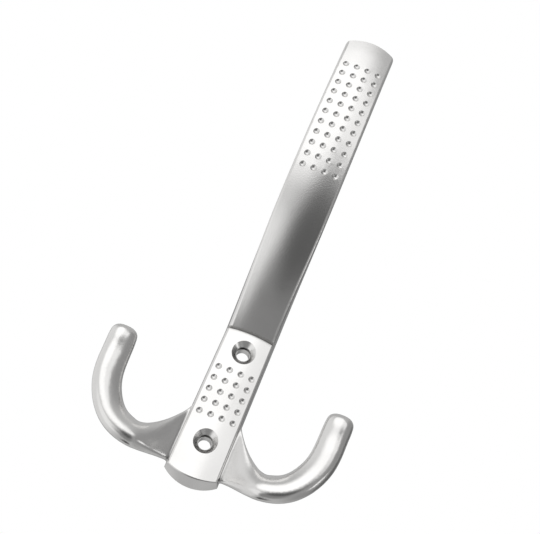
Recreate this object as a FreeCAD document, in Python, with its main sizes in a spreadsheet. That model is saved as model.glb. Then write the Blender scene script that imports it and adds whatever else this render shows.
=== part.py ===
import FreeCAD, Part
import math
import os
import Sketcher

# A double coat hook with a long upper arm, cast in one piece.
# Frame: the wall is the plane Y = 0, the front faces -Y and Z points up.
# The origin lies on the wall, midway between the two screw holes.
# Sizes are millimetres and degrees.

NODE = "hook_casting"

SIZES = [
    ("screw_spacing", 36.0, "distance between the two screw holes"),
    ("bore_diameter", 4.6, "clearance hole for the screw shank"),
    ("seat_diameter", 5.6, "short straight seat under the countersink"),
    ("seat_length", 1.3, "length of that seat"),
    ("sink_diameter", 9.2, "countersink at the plate's front"),
    ("sink_angle", 90.0, "included angle of the countersink"),
    ("plate_depth", 6.5, "wall to the top of the plate's crown"),
    ("plate_crown", 1.2, "how far the crown falls off to the sides"),
    ("plate_top_width", 19.0, "plate at the wall, at its upper end"),
    ("plate_foot_width", 19.8, "plate at the wall, at its lower end"),
    ("plate_draft", 6.0, "lean of the plate's side faces"),
    ("plate_edge_radius", 1.1, "rounding of the plate's long front edges"),
    ("foot_edge_radius", 0.4, "rounding of the foot's front edge"),
    ("foot_drop", 33.8, "origin to the lowest point of the plate"),
    ("foot_back_radius", 15.3, "foot's end arc at the wall"),
    ("foot_front_radius", 21.0, "foot's end arc at the front"),
    ("foot_draft", 16.0, "lean of the foot's end face"),
    ("step_height", 25.5, "origin to the foot of the step"),
    ("step_lip", 1.5, "how far the arm stands proud of the plate"),
    ("step_slope", 18.0, "slope of the step's underside"),
    ("arm_length", 122.2, "arc length of the arm's front"),
    ("arm_root_lean", 42.3, "lean away from the wall where the arm starts"),
    ("arm_tip_lean_back", 8.8, "lean towards the wall at the tip"),
    ("arm_crown", 1.2, "how far the arm's front falls off to the sides"),
    ("arm_root_thickness", 6.6, "metal where the arm leaves the plate"),
    ("arm_tip_thickness", 3.8, "metal at the tip"),
    ("arm_mid_width", 19.5, "arm's widest place"),
    ("arm_tip_width", 18.9, "arm at its tip"),
    ("arm_spread_length", 50.0, "arc length over which the root widens"),
    ("arm_front_edge_radius", 1.0, "rounding of the arm's front edges"),
    ("arm_back_edge_radius", 0.7, "rounding of the arm's back edges"),
    ("arm_root_edge_radius", 0.3, "rounding of those edges beside the plate"),
    ("bend_radius", 6.0, "outside bend between plate and arm"),
    ("bend_length", 16.0, "arc length that the bend takes up"),
    ("tip_arc_radius", 20.0, "tip's end arc seen from the front"),
    ("tip_corner_radius", 2.2, "tip's corners seen from the front"),
    ("dimple_diameter", 2.4, "dimple at the surface"),
    ("dimple_ball_radius", 1.55, "ball that forms a dimple"),
    ("dimple_row_pitch", 4.5, "rows along the hook"),
    ("dimple_column_pitch", 4.22, "columns across the hook"),
    ("dimple_columns", 4, "dimples in a row"),
    ("plate_dimple_rows", 5, "rows on the plate"),
    ("arm_dimple_rows", 11, "rows on the arm"),
    ("plate_dimple_rise", 0.65, "middle of the plate's dimples above the origin"),
    ("arm_dimple_margin", 13.8, "arm's tip to its top row"),
    ("prong_root_width", 21.2, "side hook where it leaves the plate"),
    ("prong_bar_width", 11.1, "side hook's bar seen from the front"),
    ("prong_root_thickness", 3.6, "side hook's depth where it leaves the plate"),
    ("prong_bar_thickness", 7.6, "side hook's depth along the bar"),
    ("prong_tip_width", 9.8, "side hook's bar near its end, seen from the front"),
    ("prong_tip_thickness", 8.2, "side hook's depth near its end"),
    ("prong_root_height", 18.0, "middle of the root below the origin"),
    ("prong_web_length", 13.7, "plate side to the lowest place of the hook"),
    ("prong_web_fall", 8.85, "how far the hook drops over that length"),
    ("prong_inner_turn_radius", 15.0, "first turn of the hook"),
    ("prong_inner_turn", 50.0, "angle of that turn"),
    ("prong_outer_turn_radius", 24.0, "second turn of the hook"),
    ("prong_outer_turn", 38.0, "angle of that turn"),
    ("prong_upright_length", 13.6, "straight end of the hook"),
    ("prong_root_setback", 0.9, "wall to the back of the root"),
    ("prong_web_angle", 32.0, "lean of the web away from the wall"),
    ("prong_web_bend", 2.2, "softness of the bend from web to bar"),
    ("prong_bar_reach", 11.3, "wall to the middle of the bar"),
    ("prong_tip_reach", 13.8, "wall to the middle of the tip"),
    ("prong_bar_roll", 36.0, "turn of the bar's front towards the hook's inside"),
    ("prong_tip_roll", 10.0, "that turn near the hook's end"),
    ("prong_end_radius", 3.1, "rounding of the hook's end"),
    ("prong_flare", 0.7, "how far the hook spreads where it meets the plate"),
]

# Extra reach of cutting tools and of stock that is trimmed later.
SPARE = 1.0
OVERLAP = 3.0

# Sections of the arm: round the bend, then on to the tip.
BEND_SECTION_COUNT = 4
ARM_SECTION_COUNT = 8

# Sections of a side hook. Two gives an ellipse, more gives a squarer section.
SECTION_POINT_COUNT = 32
BAR_SQUARENESS = 2.2
WEB_SQUARENESS = 2.8

# Places of the web's sections: first in flares from the plate's side, each
# with the share of the flare that it has, then in shares of the web's length.
FLARE_PLACES = ((-4.0, 1.0), (-0.3, 1.0), (0.5, 0.25), (1.5, 0.0))
WEB_PLACES = (0.18, 0.34, 0.5, 0.66, 0.83)

# How the web's underside falls and its width narrows towards the bar.
WEB_FALL_POWER = 1.5
WEB_TAPER_POWER = 2.5

# Sections in the two turns, on the straight end and round its tip.
INNER_TURN_COUNT = 4
OUTER_TURN_COUNT = 3
UPRIGHT_PARTS = (0.4, 0.6)
END_ANGLES = (0, 25, 50, 70, 84)

doc = FreeCAD.newDocument("wall_hook")
sheet = doc.addObject("Spreadsheet::Sheet", "sizes")


def fill_sheet():
    """Write each driving size to the sheet with its alias and a note."""
    for row, (alias, value, note) in enumerate(SIZES, start=1):
        sheet.set(f"A{row}", alias)
        sheet.set(f"B{row}", str(value))
        sheet.setAlias(f"B{row}", alias)
        sheet.set(f"C{row}", note)
    doc.recompute()


def size(alias):
    """A driving size read back from the sheet."""
    return float(sheet.get(alias))


def bind(target, prop, formula):
    """Tie one property to the sheet. A word with no dot before it is an alias."""
    words = []
    for word in formula.split():
        words.append(f"sizes.{word}" if word in ALIASES else word)
    target.setExpression(prop, " ".join(words))


def tie(sketch, name, kind, *places, to):
    """Add a named constraint and bind it to a formula of aliases."""
    index = sketch.addConstraint(Sketcher.Constraint(kind, *places))
    sketch.renameConstraint(index, name)
    bind(sketch, f"Constraints.{name}", to)


def origin_plane(body, role):
    """The body's own origin plane with this role."""
    for feature in body.Origin.OriginFeatures:
        if feature.Role == role:
            return feature
    raise ValueError(f"no origin plane {role}")


def sketch_on(body, name, role, offset):
    """A sketch on an origin plane, moved along its normal by a formula."""
    sketch = body.newObject("Sketcher::SketchObject", name)
    sketch.AttachmentSupport = [(origin_plane(body, role), "")]
    sketch.MapMode = "FlatFace"
    bind(sketch, "AttachmentOffset.Base.z", offset)
    doc.recompute()
    return sketch


def close_loop(sketch, first, count):
    """Join the ends of consecutive elements into one closed loop."""
    for step in range(count):
        here = first + step
        there = first + (step + 1) % count
        sketch.addConstraint(Sketcher.Constraint("Coincident", here, 2, there, 1))


# Plate

def plate_outline(body, name, depth, radius, lift, inset):
    """The plate's outline at one depth: end arc below, sides, straight top.

    depth: formula for the distance in front of the wall
    radius: formula for the end arc's radius
    lift: how far the end arc lies above its place at the wall
    inset: how far each side lies inside its place at the wall
    """
    sketch = sketch_on(body, name, "XZ_Plane", depth)
    half = size("plate_top_width") / 2
    drop = size("foot_drop")
    bend = size("foot_back_radius")
    centre = FreeCAD.Vector(0, bend - drop, 0)
    circle = Part.Circle(centre, FreeCAD.Vector(0, 0, 1), bend)
    reach = math.asin(half / bend)
    end_arc = Part.ArcOfCircle(circle, 1.5 * math.pi - reach, 1.5 * math.pi + reach)
    top_left = FreeCAD.Vector(-half, size("step_height"), 0)
    top_right = FreeCAD.Vector(half, size("step_height"), 0)
    sketch.addGeometry([
        end_arc,
        Part.LineSegment(end_arc.EndPoint, top_right),
        Part.LineSegment(top_right, top_left),
        Part.LineSegment(top_left, end_arc.StartPoint),
    ])
    close_loop(sketch, 0, 4)
    sketch.addConstraint(Sketcher.Constraint("PointOnObject", 0, 3, -2))
    sketch.addConstraint(Sketcher.Constraint("Symmetric", 2, 1, 2, 2, -2))
    tie(sketch, "end_radius", "Radius", 0, bend, to=radius)
    tie(sketch, "end_centre", "DistanceY", 0, 3, -1, 1, drop - bend,
        to=f"foot_drop - ( {lift} ) - ( {radius} )")
    tie(sketch, "top_height", "DistanceY", -1, 1, 1, 2, size("step_height"),
        to=f"step_height + ( {depth} - plate_depth ) * tan( step_slope )")
    tie(sketch, "top_half", "DistanceX", -1, 1, 1, 2, half,
        to=f"plate_top_width / 2 - ( {inset} )")
    tie(sketch, "foot_right", "DistanceX", -1, 1, 0, 2, half,
        to=f"plate_foot_width / 2 - ( {inset} )")
    tie(sketch, "foot_left", "DistanceX", 0, 1, -1, 1, half,
        to=f"plate_foot_width / 2 - ( {inset} )")
    doc.recompute()
    return sketch


def crown_profile(body):
    """The metal outside the plate's crown, as a region across the hook."""
    sketch = sketch_on(body, "crown_profile", "XY_Plane", "step_height * 2")
    half = size("plate_foot_width")
    radius = crown_radius("plate_crown", size("plate_top_width") / 2)
    depth = size("plate_depth")
    reach = math.asin(half / 2 / radius)
    circle = Part.Circle(FreeCAD.Vector(0, radius - depth, 0), FreeCAD.Vector(0, 0, 1), radius)
    arc = Part.ArcOfCircle(circle, 1.5 * math.pi - reach, 1.5 * math.pi + reach)
    left, right = arc.StartPoint, arc.EndPoint
    low = -depth * 2
    sketch.addGeometry([
        arc,
        Part.LineSegment(right, FreeCAD.Vector(right.x, low, 0)),
        Part.LineSegment(FreeCAD.Vector(right.x, low, 0), FreeCAD.Vector(left.x, low, 0)),
        Part.LineSegment(FreeCAD.Vector(left.x, low, 0), left),
    ])
    close_loop(sketch, 0, 4)
    sketch.addConstraint(Sketcher.Constraint("PointOnObject", 0, 3, -2))
    sketch.addConstraint(Sketcher.Constraint("Vertical", 1))
    sketch.addConstraint(Sketcher.Constraint("Vertical", 3))
    sketch.addConstraint(Sketcher.Constraint("Horizontal", 2))
    half_top = "plate_top_width / 2"
    formula = f"( {half_top} * {half_top} / plate_crown + plate_crown ) / 2"
    outside_width = f"plate_foot_width / 2 + {OVERLAP}"
    tie(sketch, "crown_radius", "Radius", 0, radius, to=formula)
    tie(sketch, "crown_centre", "DistanceY", -1, 1, 0, 3, radius - depth,
        to=f"{formula} - plate_depth")
    tie(sketch, "right_side", "DistanceX", -1, 1, 0, 2, half / 2, to=outside_width)
    tie(sketch, "left_side", "DistanceX", 0, 1, -1, 1, half / 2, to=outside_width)
    tie(sketch, "outside", "DistanceY", 1, 2, -1, 1, -low, to="plate_depth * 2")
    doc.recompute()
    return sketch


def crown_radius(crown_alias, half_width):
    """Radius of an arc that falls off by the crown over half a width."""
    fall = size(crown_alias)
    return (half_width * half_width / fall + fall) / 2


def front_edges(shape, along_foot):
    """Names of the crown's edges along the foot, or of its long edges."""
    front = -(size("plate_depth") - size("plate_crown") - SPARE / 2)
    names = []
    for number, edge in enumerate(shape.Edges, start=1):
        box = edge.BoundBox
        is_front = box.YMax < front
        is_long = box.ZLength > size("step_height")
        is_foot = box.ZMax < 0
        if is_front and (is_foot if along_foot else is_long):
            names.append(f"Edge{number}")
    return names


def round_edges(body, name, before, along_foot, radius):
    """Round one set of the crown's front edges."""
    rounding = body.newObject("PartDesign::Fillet", name)
    rounding.Base = (before, front_edges(before.Shape, along_foot))
    bind(rounding, "Radius", radius)
    doc.recompute()
    return rounding


def make_plate():
    """The plate: drafted block, crowned front, rounded front edges."""
    body = doc.addObject("PartDesign::Body", "plate")
    deep = f"plate_depth + {SPARE}"
    back = plate_outline(body, "outline_at_wall", "0", "foot_back_radius", "0", "0")
    front = plate_outline(body, "outline_at_front", deep, "foot_front_radius",
                          f"( {deep} ) * tan( foot_draft )",
                          f"( {deep} ) * tan( plate_draft )")
    block = body.newObject("PartDesign::AdditiveLoft", "drafted_block")
    block.Profile = back
    block.Sections = [front]
    block.Ruled = True
    doc.recompute()
    crown = body.newObject("PartDesign::Pocket", "crown")
    crown.Profile = crown_profile(body)
    crown.Type = "Length"
    bind(crown, "Length", "step_height * 2 + foot_drop * 2")
    doc.recompute()
    if crown.Shape.Volume > block.Shape.Volume - 1:
        raise ValueError("the crown cut took nothing away")
    long_sides = round_edges(body, "long_rounding", crown, False, "plate_edge_radius")
    round_edges(body, "foot_rounding", long_sides, True, "foot_edge_radius")
    return body


# Arm

def arm_radius():
    """Radius of the arm's front in side view."""
    turn = math.radians(size("arm_root_lean") + size("arm_tip_lean_back"))
    return size("arm_length") / turn


def arm_start():
    """Front of the arm at the step, as (Y, Z)."""
    lip = size("step_lip")
    rise = lip * math.tan(math.radians(size("step_slope")))
    return -(size("plate_depth") + lip), size("step_height") + rise


def arm_axis():
    """Centre of the arm's front arc, as (Y, Z)."""
    lean = math.radians(size("arm_root_lean"))
    start_y, start_z = arm_start()
    radius = arm_radius()
    return start_y + radius * math.cos(lean), start_z + radius * math.sin(lean)


def arm_lean(along):
    """Lean of the arm at an arc length from the step, in radians."""
    return math.radians(size("arm_root_lean")) - along / arm_radius()


def arm_front(along):
    """Front point of the arm at an arc length, as (Y, Z)."""
    lean = arm_lean(along)
    axis_y, axis_z = arm_axis()
    radius = arm_radius()
    return axis_y - radius * math.cos(lean), axis_z - radius * math.sin(lean)


def arm_thickness(along):
    """Metal thickness, tapering evenly from root to tip."""
    share = along / size("arm_length")
    return size("arm_root_thickness") * (1 - share) + size("arm_tip_thickness") * share


def arm_back(along):
    """Back point of the arm, square to its front, as (Y, Z)."""
    lean = arm_lean(along)
    front_y, front_z = arm_front(along)
    metal = arm_thickness(along)
    return front_y + metal * math.cos(lean), front_z + metal * math.sin(lean)


def bend_points(count):
    """Back points from the plate's top round the outside bend to the arm's back."""
    lean = arm_lean(size("bend_length") / 2)
    start_y, start_z = arm_start()
    low = start_z + start_y * math.tan(math.radians(size("step_slope")))
    meet_y, meet_z = arm_back(size("bend_length"))
    corner = meet_z + meet_y / math.tan(lean)
    radius = size("bend_radius")
    reach = radius * math.tan(lean / 2)
    turn = Part.Arc(
        FreeCAD.Vector(0, 0, corner - reach),
        FreeCAD.Vector(0, radius * (math.cos(lean / 2) - 1),
                       corner - reach + radius * math.sin(lean / 2)),
        FreeCAD.Vector(0, radius * (math.cos(lean) - 1),
                       corner - reach + radius * math.sin(lean)),
    ).toShape()
    first = Part.makeLine(FreeCAD.Vector(0, 0, low), turn.Vertexes[0].Point)
    last = Part.makeLine(turn.Vertexes[-1].Point, FreeCAD.Vector(0, meet_y, meet_z))
    path = Part.Wire([first, turn, last])
    points = path.discretize(Number=count + 1)
    return [(point.y, point.z) for point in points[:-1]]


def blend(share):
    """Smooth change from 0 to 1."""
    share = min(max(share, 0.0), 1.0)
    return share * share * (3 - 2 * share)


def arm_half_widths(along):
    """Half widths of the arm's front and back at an arc length."""
    start_y, _ = arm_start()
    root_back = size("plate_top_width") / 2
    root_front = root_back + start_y * math.tan(math.radians(size("plate_draft")))
    middle = size("arm_mid_width") / 2
    tip = size("arm_tip_width") / 2
    spread = size("arm_spread_length")
    opened = blend(along / spread)
    taper = blend((along - spread) / (size("arm_length") - spread))
    outer = middle * (1 - taper) + tip * taper
    front = root_front * (1 - opened) + outer * opened
    back = root_back * (1 - opened) + outer * opened
    return front, back


def arm_section(front, back, half_front, half_back, front_round, back_round):
    """One closed section of the arm: crowned front, straight sides, flat back.

    front, back: (Y, Z) of the section's middle at the front and the back
    half_front, half_back: half widths there
    front_round, back_round: how far the rounded corners reach
    """
    deep = FreeCAD.Vector(0, back[0] - front[0], back[1] - front[1])
    depth = deep.Length
    deep.normalize()
    origin = FreeCAD.Vector(0, front[0], front[1])
    radius = crown_radius("arm_crown", half_front)
    fall = size("arm_crown")
    draft = math.atan2(half_back - half_front, depth - fall)

    def at(across, down):
        return origin + FreeCAD.Vector(across, 0, 0) + deep * down

    def on_crown(across):
        return across, radius - math.sqrt(radius ** 2 - across ** 2)

    def corner(first, last, peak, side):
        middle = [(first[axis] + last[axis]) / 4 + peak[axis] / 2 for axis in (0, 1)]
        return Part.Arc(at(side * first[0], first[1]), at(side * middle[0], middle[1]),
                        at(side * last[0], last[1])).toShape()

    front_peak = (half_front, fall)
    back_peak = (half_back, depth)
    crown_end = on_crown(half_front - front_round)
    side_top = (half_front + math.sin(draft) * front_round,
                fall + math.cos(draft) * front_round)
    side_low = (half_back - math.sin(draft) * back_round,
                depth - math.cos(draft) * back_round)
    back_end = (half_back - back_round, depth)
    edges = [
        Part.Arc(at(-crown_end[0], crown_end[1]), at(0, 0), at(*crown_end)).toShape(),
        corner(crown_end, side_top, front_peak, 1),
        Part.makeLine(at(*side_top), at(*side_low)),
        corner(side_low, back_end, back_peak, 1),
        Part.makeLine(at(*back_end), at(-back_end[0], back_end[1])),
        corner(back_end, side_low, back_peak, -1),
        Part.makeLine(at(-side_low[0], side_low[1]), at(-side_top[0], side_top[1])),
        corner(side_top, crown_end, front_peak, -1),
    ]
    return Part.Wire(edges)


def arm_stations():
    """Front and back points and arc lengths of the arm's sections."""
    bend = size("bend_length")
    full = size("arm_length") + OVERLAP
    stations = []
    for number, back in enumerate(bend_points(BEND_SECTION_COUNT)):
        along = bend * number / BEND_SECTION_COUNT
        stations.append((along, arm_front(along), back))
    for number in range(ARM_SECTION_COUNT + 1):
        along = bend + (full - bend) * number / ARM_SECTION_COUNT
        stations.append((along, arm_front(along), arm_back(along)))
    return stations


def section_feature(name, wire):
    """Keep one section wire in the document."""
    feature = doc.addObject("Part::Feature", name)
    feature.Shape = wire
    return feature


def make_arm():
    """The arm as a loft through its sections, trimmed at the tip."""
    sections = []
    for number, (along, front, back) in enumerate(arm_stations(), start=1):
        half_front, half_back = arm_half_widths(along)
        opened = blend(along / size("bend_length"))
        edge = size("plate_edge_radius") * (1 - opened)
        edge += size("arm_front_edge_radius") * opened
        rear = size("arm_root_edge_radius") * (1 - opened)
        rear += size("arm_back_edge_radius") * opened
        wire = arm_section(front, back, half_front, half_back, edge, rear)
        sections.append(section_feature(f"arm_section_{number}", wire))
    loft = doc.addObject("Part::Loft", "arm_loft")
    loft.Sections = sections
    loft.Solid = True
    loft.Ruled = False
    doc.recompute()
    trimmed = doc.addObject("Part::Cut", "arm")
    trimmed.Base = loft
    trimmed.Tool = make_tip_trim()
    doc.recompute()
    return trimmed


def make_wall_trim():
    """A block behind the wall plane, so that the casting's back is flat."""
    block = doc.addObject("Part::Box", "wall_trim")
    bind(block, "Length", "arm_mid_width * 2")
    bind(block, "Width", "plate_depth")
    bind(block, "Height", "arm_length + foot_drop * 2")
    place(block, "- arm_mid_width", "0", "- foot_drop * 2")
    return block


def make_tip_trim():
    """The space outside the tip's end arc and corners, as a cutting block."""
    _, top = arm_front(size("arm_length"))
    half = size("arm_tip_width") / 2
    bend = size("tip_arc_radius")
    small = size("tip_corner_radius")
    centre = top - bend
    corner_x = half - small
    corner_z = centre + math.sqrt((bend - small) ** 2 - corner_x ** 2)
    angle = math.atan2(corner_z - centre, corner_x)
    spread = 2 * small

    def at(across, height):
        return FreeCAD.Vector(across, 0, height)

    touch = (bend * math.cos(angle), centre + bend * math.sin(angle))
    half_way = angle / 2
    middle = (corner_x + small * math.cos(half_way), corner_z + small * math.sin(half_way))
    edges = [
        Part.makeLine(at(half + spread, corner_z), at(half, corner_z)),
        Part.Arc(at(half, corner_z), at(*middle), at(*touch)).toShape(),
        Part.Arc(at(*touch), at(0, top), at(-touch[0], touch[1])).toShape(),
        Part.Arc(at(-touch[0], touch[1]), at(-middle[0], middle[1]),
                 at(-half, corner_z)).toShape(),
        Part.makeLine(at(-half, corner_z), at(-half - spread, corner_z)),
        Part.makeLine(at(-half - spread, corner_z), at(-half - spread, top + bend)),
        Part.makeLine(at(-half - spread, top + bend), at(half + spread, top + bend)),
        Part.makeLine(at(half + spread, top + bend), at(half + spread, corner_z)),
    ]
    outline = section_feature("tip_outline", Part.Wire(edges))
    block = doc.addObject("Part::Extrusion", "tip_trim")
    block.Base = outline
    block.Dir = FreeCAD.Vector(0, -1, 0)
    block.LengthFwd = size("arm_length")
    block.Solid = True
    doc.recompute()
    return block


# Side hooks

def prong_section(x, z, share, heading, roll, width, thickness, squareness):
    """One closed section of a side hook, a rounded box of any squareness.

    share: height above the lowest place as a share of the whole rise
    heading: direction of the bar in front view, from +X towards +Z
    roll: turn of the section's front towards the inside of the hook
    squareness: 2 gives an ellipse, larger values squarer sections
    """
    middle = FreeCAD.Vector(x, -prong_depth(x, share), z)
    inside = FreeCAD.Vector(-math.sin(heading), 0, math.cos(heading))
    forward = FreeCAD.Vector(0, -1, 0)
    outward = forward * math.cos(roll) + inside * math.sin(roll)
    across = inside * math.cos(roll) - forward * math.sin(roll)
    start = math.atan2(width * math.sin(roll), thickness * math.cos(roll))
    points = []
    for number in range(SECTION_POINT_COUNT):
        turn = start + 2 * math.pi * number / SECTION_POINT_COUNT
        cosine, sine = math.cos(turn), math.sin(turn)
        reach = (abs(cosine) ** squareness + abs(sine) ** squareness) ** (-1 / squareness)
        points.append(middle + across * (reach * cosine * width / 2)
                      + outward * (reach * sine * thickness / 2))
    curve = Part.BSplineCurve()
    knots = [number / SECTION_POINT_COUNT for number in range(SECTION_POINT_COUNT + 1)]
    curve.interpolate(Points=points, PeriodicFlag=True, Parameters=knots)
    return Part.Wire([curve.toShape()])


def prong_depth(x, share):
    """Wall to the middle of the hook: a leaning web that bends into the bar."""
    root = size("prong_root_setback") + size("prong_root_thickness") / 2
    out = x - size("plate_top_width") / 2
    web = root + max(out, 0) * math.tan(math.radians(size("prong_web_angle")))
    bar = size("prong_bar_reach") * (1 - share) + size("prong_tip_reach") * share
    soft = size("prong_web_bend")
    return (web + bar - math.sqrt((web - bar) ** 2 + soft ** 2)) / 2


def prong_web_stations():
    """Stations from inside the plate to the lowest place of the hook."""
    plate_side = size("plate_top_width") / 2
    flare, length = size("prong_flare"), size("prong_web_length")
    bar, root = size("prong_bar_width"), size("prong_root_width")
    thin, thick = size("prong_root_thickness"), size("prong_bar_thickness")
    mouth = flare * FLARE_PLACES[1][0]
    outs = [(flare * place, spreading) for place, spreading in FLARE_PLACES]
    outs += [(length * part, 0.0) for part in WEB_PLACES]
    stations = []
    for out, spreading in outs:
        share = 1 - max(out, mouth) / length
        fallen = 1 - share ** WEB_FALL_POWER
        z = -size("prong_root_height") - size("prong_web_fall") * fallen
        wider = 2 * flare * spreading
        roll = math.radians(size("prong_bar_roll")) * blend(1 - share) ** 2
        stations.append((plate_side + out, z, 0.0, 0.0, roll,
                         bar + (root - bar) * share ** WEB_TAPER_POWER + wider,
                         thick + (thin - thick) * share + wider / 2,
                         BAR_SQUARENESS + WEB_SQUARENESS * share))
    return stations


def prong_bar_stations():
    """Stations round the two turns and up the straight end."""
    lowest = -size("prong_root_height") - size("prong_web_fall")
    x = size("plate_top_width") / 2 + size("prong_web_length")
    z, heading = lowest, 0.0
    route = [(x, z, heading)]
    for radius, angle, count in (
        (size("prong_inner_turn_radius"), size("prong_inner_turn"), INNER_TURN_COUNT),
        (size("prong_outer_turn_radius"), size("prong_outer_turn"), OUTER_TURN_COUNT),
    ):
        step = math.radians(angle) / count
        for _ in range(count):
            x += radius * (math.sin(heading + step) - math.sin(heading))
            z += radius * (math.cos(heading) - math.cos(heading + step))
            heading += step
            route.append((x, z, heading))
    for part in UPRIGHT_PARTS:
        step = size("prong_upright_length") * part
        x += step * math.cos(heading)
        z += step * math.sin(heading)
        route.append((x, z, heading))
    rise = z - lowest
    stations = []
    for x, z, heading in route[:-1]:
        stations.append(bar_station(x, z, heading, (z - lowest) / rise, 0.0))
    return stations + prong_end_stations(*route[-1])


def bar_station(x, z, heading, share, inset):
    """One station of the bar, drawn in on all sides by the inset."""
    width = size("prong_bar_width") * (1 - share) + size("prong_tip_width") * share
    thickness = size("prong_bar_thickness") * (1 - share) + size("prong_tip_thickness") * share
    roll = size("prong_bar_roll") * (1 - share) + size("prong_tip_roll") * share
    return (x, z, share, heading, math.radians(roll),
            width - 2 * inset, thickness - 2 * inset, BAR_SQUARENESS)


def prong_end_stations(x, z, heading):
    """Stations that round the end off along a quarter circle."""
    radius = size("prong_end_radius")
    stations = []
    for angle in END_ANGLES:
        turn = math.radians(angle)
        back = radius * (1 - math.sin(turn))
        stations.append(bar_station(x - back * math.cos(heading), z - back * math.sin(heading),
                                    heading, 1.0, radius * (1 - math.cos(turn))))
    return stations


def make_prongs():
    """The right side hook and its mirror image."""
    sections = []
    for number, station in enumerate(prong_web_stations() + prong_bar_stations(), start=1):
        sections.append(section_feature(f"prong_section_{number}", prong_section(*station)))
    right = doc.addObject("Part::Loft", "prong_right")
    right.Sections = sections
    right.Solid = True
    right.Ruled = False
    left = doc.addObject("Part::Mirroring", "prong_left")
    left.Source = right
    left.Normal = FreeCAD.Vector(1, 0, 0)
    doc.recompute()
    return right, left


# Cuts

def place(thing, x, y, z):
    """Bind a primitive's place to three formulas."""
    bind(thing, "Placement.Base.x", x)
    bind(thing, "Placement.Base.y", y)
    bind(thing, "Placement.Base.z", z)


def hole_tools():
    """Countersink, seat and bore of both screw holes."""
    tools = []
    into_wall = FreeCAD.Rotation(FreeCAD.Vector(1, 0, 0), -90)
    sink_depth = "( sink_diameter - seat_diameter ) / 2 / tan( sink_angle / 2 )"
    for name, sign in (("upper", ""), ("lower", "-")):
        height = f"{sign} screw_spacing / 2".strip()
        bore = doc.addObject("Part::Cylinder", f"{name}_bore")
        bore.Placement.Rotation = into_wall
        bind(bore, "Radius", "bore_diameter / 2")
        bind(bore, "Height", "plate_depth * 2")
        place(bore, "0", "- plate_depth * 1.5", height)
        seat = doc.addObject("Part::Cylinder", f"{name}_seat")
        seat.Placement.Rotation = into_wall
        bind(seat, "Radius", "seat_diameter / 2")
        bind(seat, "Height", f"seat_length + {sink_depth} + plate_depth / 2")
        place(seat, "0", "- plate_depth * 1.5", height)
        sink = doc.addObject("Part::Cone", f"{name}_countersink")
        sink.Placement.Rotation = into_wall
        bind(sink, "Radius1", f"sink_diameter / 2 + {SPARE} * tan( sink_angle / 2 )")
        bind(sink, "Radius2", "seat_diameter / 2")
        bind(sink, "Height", f"{sink_depth} + {SPARE}")
        place(sink, "0", f"- plate_depth - {SPARE}", height)
        tools += [bore, seat, sink]
    return tools


def ball(name, x, y, z):
    """One ball that forms a dimple."""
    thing = doc.addObject("Part::Sphere", name)
    bind(thing, "Radius", "dimple_ball_radius")
    thing.Placement.Base = FreeCAD.Vector(x, y, z)
    return thing


def ball_lift():
    """How far a dimple's ball centre stands outside the surface."""
    return math.sqrt(size("dimple_ball_radius") ** 2 - (size("dimple_diameter") / 2) ** 2)


def column_angles(radius):
    """Angles of the dimple columns round a crown of this radius."""
    count = int(size("dimple_columns"))
    pitch = size("dimple_column_pitch") / radius
    return [(number - (count - 1) / 2) * pitch for number in range(count)]


def plate_dimples():
    """Balls for the dimples between the screw holes."""
    radius = crown_radius("plate_crown", size("plate_top_width") / 2)
    centre = radius - size("plate_depth")
    rows = int(size("plate_dimple_rows"))
    balls = []
    for row in range(rows):
        height = size("plate_dimple_rise") + ((rows - 1) / 2 - row) * size("dimple_row_pitch")
        for column, angle in enumerate(column_angles(radius)):
            far = radius + ball_lift()
            balls.append(ball(f"plate_dimple_{row + 1}_{column + 1}",
                              far * math.sin(angle), centre - far * math.cos(angle), height))
    return balls


def arm_dimples():
    """Balls for the dimples below the arm's tip."""
    axis_y, axis_z = arm_axis()
    rows = int(size("arm_dimple_rows"))
    balls = []
    for row in range(rows):
        along = size("arm_length") - size("arm_dimple_margin") - row * size("dimple_row_pitch")
        lean = arm_lean(along)
        crown = crown_radius("arm_crown", arm_half_widths(along)[0])
        for column, angle in enumerate(column_angles(crown)):
            far = crown + ball_lift()
            reach = arm_radius() - crown + far * math.cos(angle)
            balls.append(ball(f"arm_dimple_{row + 1}_{column + 1}", far * math.sin(angle),
                              axis_y - reach * math.cos(lean), axis_z - reach * math.sin(lean)))
    return balls


def check(thing):
    """Stop on a failed object or a shape that is null or broken."""
    doc.recompute()
    for item in doc.Objects:
        if "Invalid" in item.State or "Error" in item.State:
            raise ValueError(f"{item.Name} failed: {item.State}")
    if thing.Shape.isNull() or not thing.Shape.isValid():
        raise ValueError(f"{thing.Name} has no valid shape")
    if len(thing.Shape.Solids) != 1:
        raise ValueError(f"{thing.Name} has {len(thing.Shape.Solids)} solids")


def main():
    """Build the casting and write it."""
    fill_sheet()
    plate = make_plate()
    arm = make_arm()
    right, left = make_prongs()
    joined = doc.addObject("Part::MultiFuse", "joined_casting")
    joined.Shapes = [plate, arm, right, left]
    doc.recompute()
    tools = doc.addObject("Part::Compound", "cutting_tools")
    tools.Links = [make_wall_trim()] + hole_tools() + plate_dimples() + arm_dimples()
    doc.recompute()
    casting = doc.addObject("Part::Cut", "casting")
    casting.Base = joined
    casting.Tool = tools
    casting.Label = NODE
    check(casting)
    os.makedirs("parts", exist_ok=True)
    casting.Shape.exportStep(f"parts/{NODE}.step")
    box = casting.Shape.BoundBox
    print(f"{NODE}: {casting.Shape.Volume:.0f} mm3, faces {len(casting.Shape.Faces)}")
    print(f"X {box.XMin:.2f} {box.XMax:.2f} Y {box.YMin:.2f} {box.YMax:.2f} "
          f"Z {box.ZMin:.2f} {box.ZMax:.2f}")


ALIASES = {alias for alias, _, _ in SIZES}
main()
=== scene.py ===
"""Satin chrome wall hook: finish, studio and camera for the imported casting."""

from dataclasses import dataclass
from enum import Enum
import logging
import math

import bpy
from mathutils import Matrix, Vector

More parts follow.
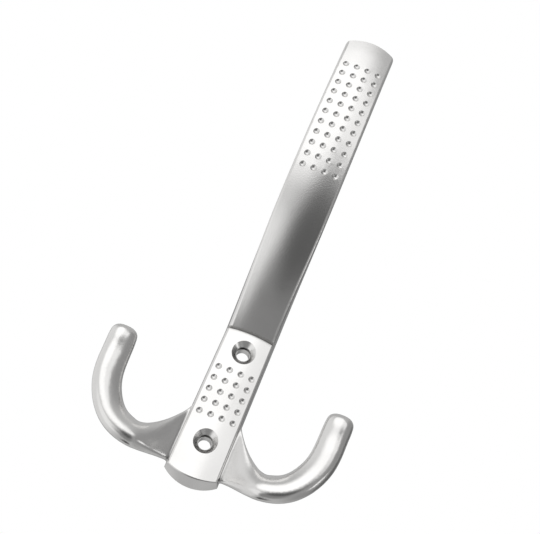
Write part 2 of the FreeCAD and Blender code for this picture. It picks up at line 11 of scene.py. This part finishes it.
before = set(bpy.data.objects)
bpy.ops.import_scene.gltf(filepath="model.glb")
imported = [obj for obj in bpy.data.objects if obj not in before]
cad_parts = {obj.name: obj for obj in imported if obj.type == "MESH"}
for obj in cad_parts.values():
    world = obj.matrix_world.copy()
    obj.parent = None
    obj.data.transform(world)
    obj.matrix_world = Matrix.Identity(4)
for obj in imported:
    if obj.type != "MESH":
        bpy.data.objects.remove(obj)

log = logging.getLogger("wall_hook")

Colour = tuple[float, float, float, float]
Triple = tuple[float, float, float]

WHITE: Colour = (1.0, 1.0, 1.0, 1.0)

# A noise texture swings about this value.
NOISE_MIDDLE = 0.5

# A Mix node has sockets for numbers, vectors and colours. These are the ones
# that it uses for colours.
MIX_SHARE, MIX_LOW, MIX_HIGH, MIX_RESULT = 0, 6, 7, 2


class Shade:
    """A shader value that can be used in Python expressions."""

    def __init__(self, graph: "NodeGraph", socket: bpy.types.NodeSocket) -> None:
        """Wrap one output socket of a graph."""
        self.graph = graph
        self.socket = socket

    def _math(self, operation: str, *terms: object) -> "Shade":
        """Add one Math node.

        Args:
            operation: the node's operation.
            terms: the numbers or Shades of its inputs, in order.

        Returns:
            The node's result.
        """
        settings = {"operation": operation}
        return self.graph.node("ShaderNodeMath", settings, dict(enumerate(terms)))

    def __add__(self, other: object) -> "Shade":
        """self + other."""
        return self._math("ADD", self, other)

    __radd__ = __add__

    def __sub__(self, other: object) -> "Shade":
        """self - other."""
        return self._math("SUBTRACT", self, other)

    def __rsub__(self, other: object) -> "Shade":
        """other - self."""
        return self._math("SUBTRACT", other, self)

    def __mul__(self, other: object) -> "Shade":
        """self * other."""
        return self._math("MULTIPLY", self, other)

    __rmul__ = __mul__

    def dot(self, other: Triple) -> "Shade":
        """Dot product of this direction and another."""
        settings, inputs = {"operation": "DOT_PRODUCT"}, {0: self, 1: other}
        return self.graph.node("ShaderNodeVectorMath", settings, inputs, "Value")

    def ramp(self, low: float, high: float) -> "Shade":
        """Smooth change from 0 at low to 1 at high.

        Args:
            low: the value that gives 0.
            high: the value that gives 1.

        Returns:
            The eased share.
        """
        settings = {"interpolation_type": "SMOOTHSTEP", "clamp": True}
        inputs = {"Value": self, "From Min": low, "From Max": high}
        return self.graph.node("ShaderNodeMapRange", settings, inputs)


@dataclass
class NodeGraph:
    """Adds nodes to one tree."""

    tree: bpy.types.NodeTree

    def node(self, kind: str, settings: dict[str, object],
             inputs: dict[int | str, object], output: int | str = 0) -> Shade:
        """Add one node.

        Args:
            kind: the node's type name.
            settings: properties of the node, set before its sockets.
            inputs: socket index or name to a plain value or a Shade.
            output: the index or name of the output that is returned.

        Returns:
            The chosen output.
        """
        made = self.tree.nodes.new(kind)
        for name, value in settings.items():
            setattr(made, name, value)
        for key, value in inputs.items():
            if isinstance(value, Shade):
                self.tree.links.new(value.socket, made.inputs[key])
            else:
                made.inputs[key].default_value = value
        return Shade(self, made.outputs[output])

    def mix(self, share: Shade, low: object, high: object) -> Shade:
        """Mix two colours.

        Args:
            share: 0 gives low, 1 gives high.
            low: the first colour.
            high: the second colour.

        Returns:
            The mixed colour.
        """
        inputs = {MIX_SHARE: share, MIX_LOW: low, MIX_HIGH: high}
        return self.node("ShaderNodeMix", {"data_type": "RGBA"}, inputs, MIX_RESULT)

    def seen_in_metal(self) -> Shade:
        """1 for rays that the metal reflects, 0 for all others."""
        return self.node("ShaderNodeLightPath", {}, {}, "Is Glossy Ray")

    def link_output(self, kind: str, socket_name: str, value: Shade) -> None:
        """End the tree in its output node."""
        end = self.tree.nodes.new(kind)
        self.tree.links.new(value.socket, end.inputs[socket_name])


def empty_tree(holder: bpy.types.ID) -> NodeGraph:
    """Clear the nodes of a material or world.

    Args:
        holder: the material or world.

    Returns:
        A graph on its empty tree.
    """
    holder.use_nodes = True
    holder.node_tree.nodes.clear()
    return NodeGraph(holder.node_tree)


@dataclass(frozen=True)
class SatinChrome:
    """Pearl chrome plating over a blasted casting.

    Faint clouds vary its tone, a fine grain breaks its shine, and recesses
    narrower than about recess_reach get painted shade: ambient occlusion
    darkens their colour. The open and closed values are the shares of free
    view at which this painted shade starts and is complete.
    """

    colour: Colour = (0.81, 0.803, 0.793, 1.0)
    cloud_colour: Colour = (0.765, 0.757, 0.747, 1.0)
    cloud_scale: float = 60.0
    cloud_detail: float = 3.0
    cloud_low: float = 0.35
    cloud_high: float = 0.7
    # Painted shade: the dark colour that recesses, dimples and corners are darkened
    # towards.
    recess_shade_colour: Colour = (0.24, 0.238, 0.234, 1.0)
    recess_reach: float = 0.0016
    recess_open: float = 0.95
    recess_closed: float = 0.45
    recess_samples: int = 16
    roughness: float = 0.21
    roughness_swing: float = 0.05
    grain_scale: float = 1900.0
    grain_detail: float = 2.0
    grain_height: float = 0.00004
    grain_strength: float = 0.4

    def make(self) -> bpy.types.Material:
        """Build the material.

        Returns:
            The material, ready for a mesh.
        """
        material = bpy.data.materials.new("satin_chrome")
        graph = empty_tree(material)
        place = graph.node("ShaderNodeTexCoord", {}, {}, "Object")
        cloud = graph.node("ShaderNodeTexNoise", {}, {
            "Vector": place, "Scale": self.cloud_scale, "Detail": self.cloud_detail})
        grain = graph.node("ShaderNodeTexNoise", {}, {
            "Vector": place, "Scale": self.grain_scale, "Detail": self.grain_detail})
        # Painted shade: ambient occlusion finds recesses, dimples and corners, and the
        # colour is darkened there.
        openness = graph.node(
            "ShaderNodeAmbientOcclusion", {"samples": self.recess_samples},
            {"Distance": self.recess_reach}, "AO")
        recess_shade = 1.0 - openness.ramp(self.recess_closed, self.recess_open)
        clouds = cloud.ramp(self.cloud_low, self.cloud_high)
        tone = graph.mix(clouds, self.colour, self.cloud_colour)
        tone = graph.mix(recess_shade, tone, self.recess_shade_colour)
        rough = self.roughness + (cloud - NOISE_MIDDLE) * self.roughness_swing
        rough = rough + (grain - NOISE_MIDDLE) * self.roughness_swing
        bump = graph.node("ShaderNodeBump", {}, {
            "Strength": self.grain_strength, "Distance": self.grain_height,
            "Height": grain})
        shader = graph.node("ShaderNodeBsdfPrincipled", {}, {
            "Base Color": tone, "Metallic": 1.0, "Roughness": rough, "Normal": bump})
        graph.link_output("ShaderNodeOutputMaterial", "Surface", shader)
        return material


class Tone(Enum):
    """Brightness that the metal shows where it reflects a part of the studio."""

    ROOM = 0.42
    LEFT_WALL = 0.66
    DARK_RIGHT = 0.25
    LEFT_LOW = 0.8
    CAMERA_SIDE = 0.21
    KEY = 1.06
    RIGHT_FILL = 0.85
    DARK_CORE = 0.09
    EDGE_LIGHT = 1.0
    UNDER_BACK = 0.06
    FAR_RIGHT = 0.11
    BEHIND = 0.2


@dataclass(frozen=True)
class SoftPanel:
    """One soft round patch of the studio, as seen from the hook.

    The four measures are degrees. Azimuth 0 is straight in front of the hook
    and grows towards the photo's right, and elevation is above the horizon.
    The panel has its full tone up to inner from its middle, and it has faded
    out at outer.
    """

    azimuth: float
    elevation: float
    inner: float
    outer: float
    tone: Tone

    def aim(self) -> Triple:
        """Unit vector from the hook to the middle of the panel."""
        side, up = math.radians(self.azimuth), math.radians(self.elevation)
        level = math.cos(up)
        return (math.sin(side) * level, -math.cos(side) * level, math.sin(up))

    def paint(self, direction: Shade, level: Shade | float, metal: float) -> Shade:
        """Lay the panel over the brightness painted so far.

        Args:
            direction: the direction that is looked at.
            level: the brightness before this panel.
            metal: the metal's own reflectance.

        Returns:
            The brightness with the panel.
        """
        rim = math.cos(math.radians(self.outer))
        core = math.cos(math.radians(self.inner))
        weight = direction.dot(self.aim()).ramp(rim, core)
        return level + (self.tone.value / metal - level) * weight


@dataclass
class Studio:
    """White for the camera, and a room of soft panels for the metal.

    The panels are painted in this order, a later one over the earlier ones.
    Their tones are divided by metal, the metal's mean reflectance.
    """

    metal: float = 0.80
    panels: tuple[SoftPanel, ...] = (
        SoftPanel(-95, -8, 38, 66, Tone.LEFT_WALL),
        SoftPanel(92, 4, 36, 74, Tone.DARK_RIGHT),
        SoftPanel(-46, -36, 18, 38, Tone.LEFT_LOW),
        SoftPanel(12, -52, 18, 38, Tone.CAMERA_SIDE),
        SoftPanel(-18, 26, 18, 38, Tone.KEY),
        SoftPanel(23, 20, 9, 18, Tone.RIGHT_FILL),
        SoftPanel(15, -21, 11, 28, Tone.DARK_CORE),
        SoftPanel(74, -12, 4, 12, Tone.EDGE_LIGHT),
        SoftPanel(180, -72, 8, 17, Tone.UNDER_BACK),
        SoftPanel(120, 6, 12, 28, Tone.FAR_RIGHT),
        SoftPanel(175, 15, 20, 40, Tone.BEHIND),
    )
    floor_height: float = -0.30
    floor_reach: float = 8.0
    floor_colour: Colour = (0.86, 0.86, 0.86, 1.0)
    lamp_power: float = 3.0
    lamp_size: float = 0.9
    lamp_place: Triple = (-0.5, -0.7, 1.1)
    lamp_target: Triple = (0.0, 0.0, 0.05)

    def make_world(self) -> None:
        """Plain white of strength 1, apart from what the metal reflects."""
        world = bpy.data.worlds.new("studio")
        bpy.context.scene.world = world
        graph = empty_tree(world)
        direction = graph.node("ShaderNodeTexCoord", {}, {}, "Generated")
        level = Tone.ROOM.value / self.metal
        for panel in self.panels:
            level = panel.paint(direction, level, self.metal)
        in_metal = graph.seen_in_metal()
        strength = level * in_metal + (1.0 - in_metal)
        back = graph.node("ShaderNodeBackground", {}, {
            "Color": WHITE, "Strength": strength})
        graph.link_output("ShaderNodeOutputWorld", "Surface", back)

    def make_floor(self) -> None:
        """A matt pale floor well below the hook, clear to the metal."""
        reach = self.floor_reach
        mesh = bpy.data.meshes.new("floor")
        plan = [(-reach, -reach), (reach, -reach), (reach, reach), (-reach, reach)]
        corners = [(x, y, self.floor_height) for x, y in plan]
        mesh.from_pydata(corners, [], [(0, 1, 2, 3)])
        floor = bpy.data.objects.new("floor", mesh)
        bpy.context.scene.collection.objects.link(floor)
        material = bpy.data.materials.new("pale_floor")
        graph = empty_tree(material)
        in_metal = graph.seen_in_metal()
        matt = graph.node("ShaderNodeBsdfDiffuse", {}, {"Color": self.floor_colour})
        clear = graph.node("ShaderNodeBsdfTransparent", {}, {})
        shader = graph.node("ShaderNodeMixShader", {}, {0: in_metal, 1: matt, 2: clear})
        graph.link_output("ShaderNodeOutputMaterial", "Surface", shader)
        mesh.materials.append(material)

    def make_lamp(self) -> None:
        """One wide soft lamp above the front, for the floor's soft shadow."""
        data = bpy.data.lights.new("soft_lamp", "AREA")
        data.energy = self.lamp_power
        data.size = self.lamp_size
        lamp = bpy.data.objects.new("soft_lamp", data)
        lamp.location = self.lamp_place
        lamp.visible_glossy = False
        aim = Vector(self.lamp_target) - lamp.location
        lamp.rotation_euler = aim.to_track_quat("-Z", "Y").to_euler()
        bpy.context.scene.collection.objects.link(lamp)


@dataclass
class PhotoCamera:
    """The photograph's camera: below the hook, a little to its right, rolled."""

    lens: float = 85.0
    sensor: float = 36.0
    nearest: float = 0.01
    place: Triple = (0.01590, -0.42610, -0.16175)
    forward: Triple = (-0.04144, 0.88881, 0.45639)
    upward: Triple = (-0.38039, -0.43642, 0.81538)

    def make(self) -> None:
        """Create the camera and make it the scene's."""
        data = bpy.data.cameras.new("photo_camera")
        data.lens = self.lens
        data.sensor_width = self.sensor
        data.sensor_fit = "HORIZONTAL"
        data.clip_start = self.nearest
        camera = bpy.data.objects.new("photo_camera", data)
        back = -Vector(self.forward).normalized()
        right = Vector(self.upward).cross(back).normalized()
        up = back.cross(right)
        turn = Matrix((right, up, back)).transposed().to_4x4()
        camera.matrix_world = Matrix.Translation(self.place) @ turn
        bpy.context.scene.collection.objects.link(camera)
        bpy.context.scene.camera = camera


@dataclass
class HookCasting:
    """The casting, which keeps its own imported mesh."""

    node: str = "hook_casting"
    finish: SatinChrome = SatinChrome()

    def dress(self) -> bpy.types.Object:
        """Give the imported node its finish.

        Returns:
            The casting.
        """
        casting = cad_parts[self.node]
        material = self.finish.make()
        casting.data.materials.clear()
        casting.data.materials.append(material)
        return casting


def main() -> None:
    """Build the scene in order."""
    logging.basicConfig(level=logging.INFO)
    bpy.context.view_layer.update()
    bpy.context.scene.view_settings.view_transform = "Standard"
    PhotoCamera().make()
    studio = Studio()
    studio.make_world()
    studio.make_floor()
    studio.make_lamp()
    casting = HookCasting().dress()
    log.info("%s dressed, %d faces", casting.name, len(casting.data.polygons))


if __name__ == "__main__":
    main()
